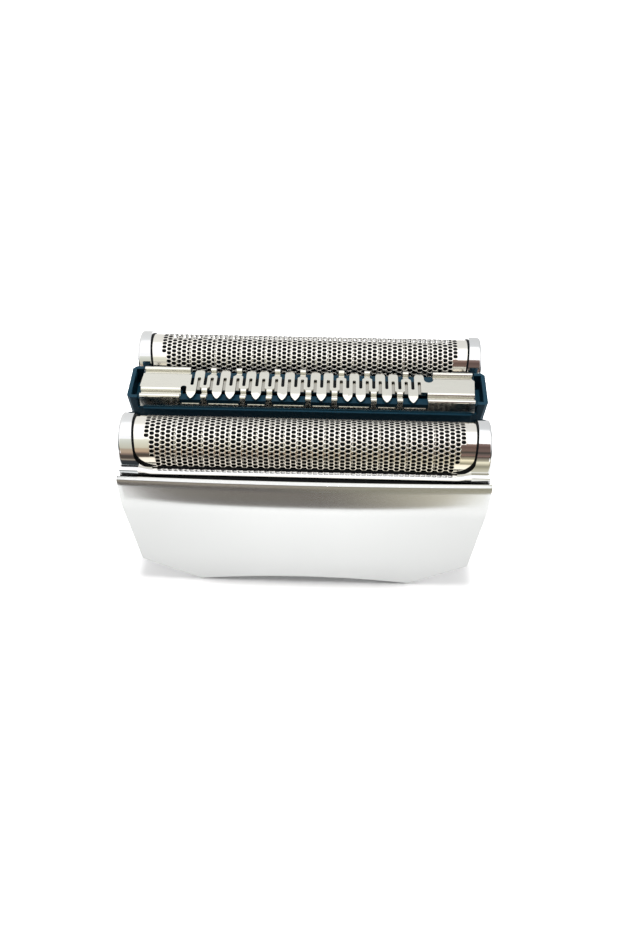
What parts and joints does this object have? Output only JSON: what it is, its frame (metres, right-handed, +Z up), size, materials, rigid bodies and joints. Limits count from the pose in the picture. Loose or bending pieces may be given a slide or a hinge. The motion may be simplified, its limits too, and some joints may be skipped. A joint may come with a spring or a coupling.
{
  "type": "shaver foil head",
  "caption": "Shaver head: arched perforated foils in plated frames beside a toothed trimmer, floating on strip springs in a moulded housing over sliding cutters.",
  "frame": {"origin": "middle of the housing, on the surface that it stands on", "axes": "+X along the foils, -Y towards the front panel, +Z up through the foils"},
  "size_m": [0.0434, 0.0278, 0.0229],
  "materials": {
    "silver_plastic": "satin silver",
    "black_plastic": "moulded black",
    "plated_frame": "bright plated",
    "foil_nickel": "bright electroformed sheet",
    "blade_steel": "ground",
    "comb_steel": "satin folded sheet",
    "spring_steel": "strip"
  },
  "bodies": {
    "head": {"housing": "silver_plastic", "chassis": "black_plastic", "front_foil_spring_left": "spring_steel", "front_foil_spring_right": "spring_steel", "rear_foil_spring_left": "spring_steel", "rear_foil_spring_right": "spring_steel", "trimmer_spring_left": "spring_steel", "trimmer_spring_right": "spring_steel"},
    "front_foil_unit": {"front_foil_frame": "plated_frame", "front_foil": "foil_nickel", "front_foil_retainer": "black_plastic"},
    "rear_foil_unit": {"rear_foil_frame": "plated_frame", "rear_foil": "foil_nickel", "rear_foil_retainer": "black_plastic"},
    "front_cutter": {"front_cutter_blades": "blade_steel", "front_cutter_carrier": "black_plastic"},
    "rear_cutter": {"rear_cutter_blades": "blade_steel", "rear_cutter_carrier": "black_plastic"},
    "trimmer_unit": {"trimmer_carrier": "black_plastic", "trimmer_comb": "comb_steel"},
    "trimmer_cutter": {"trimmer_blade": "blade_steel", "trimmer_driver": "black_plastic"}
  },
  "joints": [
    {"name": "front_foil_float", "type": "slide", "parent": "head", "child": "front_foil_unit", "axis": [0, 0, 1], "range_m": [-0.0018, 0], "stiffness_N_per_m": 300, "springref_m": 0.002, "deforming": ["front_foil_spring_left", "front_foil_spring_right"]},
    {"name": "rear_foil_float", "type": "slide", "parent": "head", "child": "rear_foil_unit", "axis": [0, 0, 1], "range_m": [-0.0018, 0], "stiffness_N_per_m": 300, "springref_m": 0.002, "deforming": ["rear_foil_spring_left", "rear_foil_spring_right"]},
    {"name": "trimmer_float", "type": "slide", "parent": "head", "child": "trimmer_unit", "axis": [0, 0, 1], "range_m": [-0.0018, 0], "stiffness_N_per_m": 300, "springref_m": 0.002, "deforming": ["trimmer_spring_left", "trimmer_spring_right"]},
    {"name": "front_cutter_slide", "type": "slide", "parent": "front_foil_unit", "child": "front_cutter", "axis": [1, 0, 0], "range_m": [-0.001, 0.001]},
    {"name": "rear_cutter_slide", "type": "slide", "parent": "rear_foil_unit", "child": "rear_cutter", "axis": [1, 0, 0], "range_m": [-0.001, 0.001]},
    {"name": "trimmer_cutter_slide", "type": "slide", "parent": "trimmer_unit", "child": "trimmer_cutter", "axis": [1, 0, 0], "range_m": [-0.001, 0.001]}
  ]
}
